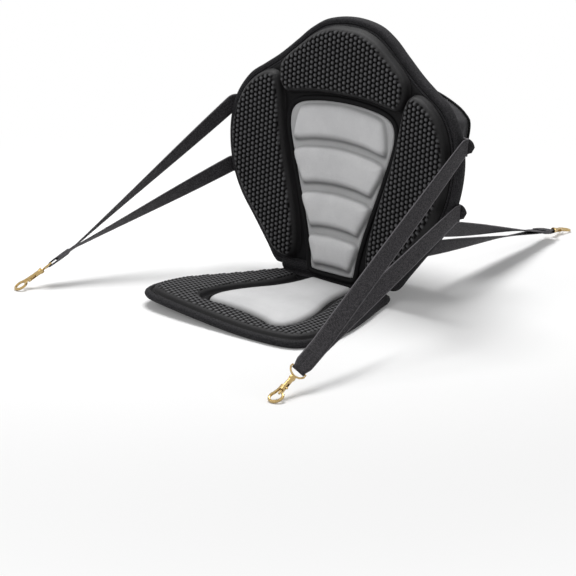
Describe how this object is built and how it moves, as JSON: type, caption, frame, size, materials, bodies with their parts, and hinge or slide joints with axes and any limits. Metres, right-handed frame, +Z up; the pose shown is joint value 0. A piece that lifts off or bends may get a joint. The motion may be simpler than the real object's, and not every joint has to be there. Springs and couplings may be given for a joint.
{
  "type": "kayak seat",
  "caption": "Padded kayak seat with a contoured backrest, ribbed lumbar panel, rear pack and webbing straps ending in brass bolt snaps.",
  "frame": {"origin": "middle of the base's underside, on the surface the seat rests on", "axes": "+Z up; -Y the way the sitter faces; +X the sitter's left"},
  "size_m": [0.8185, 1.2014, 0.5221],
  "materials": {
    "foam_cloth": "black stretch cloth over moulded foam, embossed with small lozenges",
    "binding_cloth": "black woven binding tape with stitching",
    "underside_cloth": "black ribbed non-slip cloth",
    "grey_cloth": "mid-grey heather knit, padded",
    "pale_cloth": "light-grey heather knit, padded",
    "webbing": "charcoal polypropylene webbing, fine weave",
    "pack_cloth": "dark-grey coated pack cloth",
    "board_plastic": "natural polyethylene board",
    "buckle_plastic": "black moulded acetal, fine grain",
    "brass_metal": "polished cast brass"
  },
  "bodies": {
    "seat": {"back_binding": "binding_cloth", "back_foam": "foam_cloth", "back_panel": "grey_cloth", "back_panel_bead": "binding_cloth", "back_rear_cover": "foam_cloth", "back_stiffener": "board_plastic", "base_binding": "binding_cloth", "base_foam": "foam_cloth", "base_insert": "pale_cloth", "base_underside": "underside_cloth", "front_left_end_loop": "webbing", "front_left_eye": "brass_metal", "front_left_lower_leg": "webbing", "front_left_lower_slide": "buckle_plastic", "front_left_lower_tail": "webbing", "front_left_upper_leg": "webbing", "front_left_upper_slide": "buckle_plastic", "front_left_upper_tail": "webbing", "front_right_end_loop": "webbing", "front_right_eye": "brass_metal", "front_right_lower_leg": "webbing", "front_right_lower_slide": "buckle_plastic", "front_right_lower_tail": "webbing", "front_right_upper_leg": "webbing", "front_right_upper_slide": "buckle_plastic", "front_right_upper_tail": "webbing", "hinge_strip": "binding_cloth", "pack_body": "pack_cloth", "pack_flange": "pack_cloth", "pack_flange_piping": "binding_cloth", "pack_rear_piping": "binding_cloth", "pack_zip": "binding_cloth", "pack_zip_pull": "webbing", "pack_zip_slider": "buckle_plastic", "rear_left_end_loop": "webbing", "rear_left_eye": "brass_metal", "rear_left_lower_leg": "webbing", "rear_left_upper_leg": "webbing", "rear_right_end_loop": "webbing", "rear_right_eye": "brass_metal", "rear_right_lower_leg": "webbing", "rear_right_upper_leg": "webbing"},
    "front_left_snap": {"front_left_hook": "brass_metal"},
    "front_left_thumb_bolt": {"front_left_bolt": "brass_metal"},
    "front_right_snap": {"front_right_hook": "brass_metal"},
    "front_right_thumb_bolt": {"front_right_bolt": "brass_metal"},
    "rear_left_snap": {"rear_left_hook": "brass_metal"},
    "rear_left_thumb_bolt": {"rear_left_bolt": "brass_metal"},
    "rear_right_snap": {"rear_right_hook": "brass_metal"},
    "rear_right_thumb_bolt": {"rear_right_bolt": "brass_metal"}
  },
  "joints": [
    {"name": "front_left_swivel", "type": "hinge", "parent": "seat", "child": "front_left_snap", "pos_m": [0.34495, -0.32673, 0.02803], "axis": [0.099, -0.9046, -0.4146], "continuous": true},
    {"name": "front_left_bolt_slide", "type": "slide", "parent": "front_left_snap", "child": "front_left_thumb_bolt", "axis": [-0.099, 0.9046, 0.4146], "range_m": [0, 0.008], "stiffness_N_per_m": 300, "springref_m": -0.004},
    {"name": "front_right_swivel", "type": "hinge", "parent": "seat", "child": "front_right_snap", "pos_m": [-0.42551, -0.21238, 0.03211], "axis": [-0.2863, -0.8285, -0.4813], "continuous": true},
    {"name": "front_right_bolt_slide", "type": "slide", "parent": "front_right_snap", "child": "front_right_thumb_bolt", "axis": [0.2863, 0.8285, 0.4813], "range_m": [0, 0.008], "stiffness_N_per_m": 300, "springref_m": -0.004},
    {"name": "rear_left_swivel", "type": "hinge", "parent": "seat", "child": "rear_left_snap", "pos_m": [0.0901, 0.75473, 0.0144], "axis": [-0.149, 0.9701, -0.1915], "continuous": true},
    {"name": "rear_left_bolt_slide", "type": "slide", "parent": "rear_left_snap", "child": "rear_left_thumb_bolt", "axis": [0.149, -0.9701, 0.1915], "range_m": [0, 0.008], "stiffness_N_per_m": 300, "springref_m": -0.004},
    {"name": "rear_right_swivel", "type": "hinge", "parent": "seat", "child": "rear_right_snap", "pos_m": [-0.25908, 0.63163, 0.01709], "axis": [-0.1788, 0.9553, -0.2354], "continuous": true},
    {"name": "rear_right_bolt_slide", "type": "slide", "parent": "rear_right_snap", "child": "rear_right_thumb_bolt", "axis": [0.1788, -0.9553, 0.2354], "range_m": [0, 0.008], "stiffness_N_per_m": 300, "springref_m": -0.004}
  ]
}
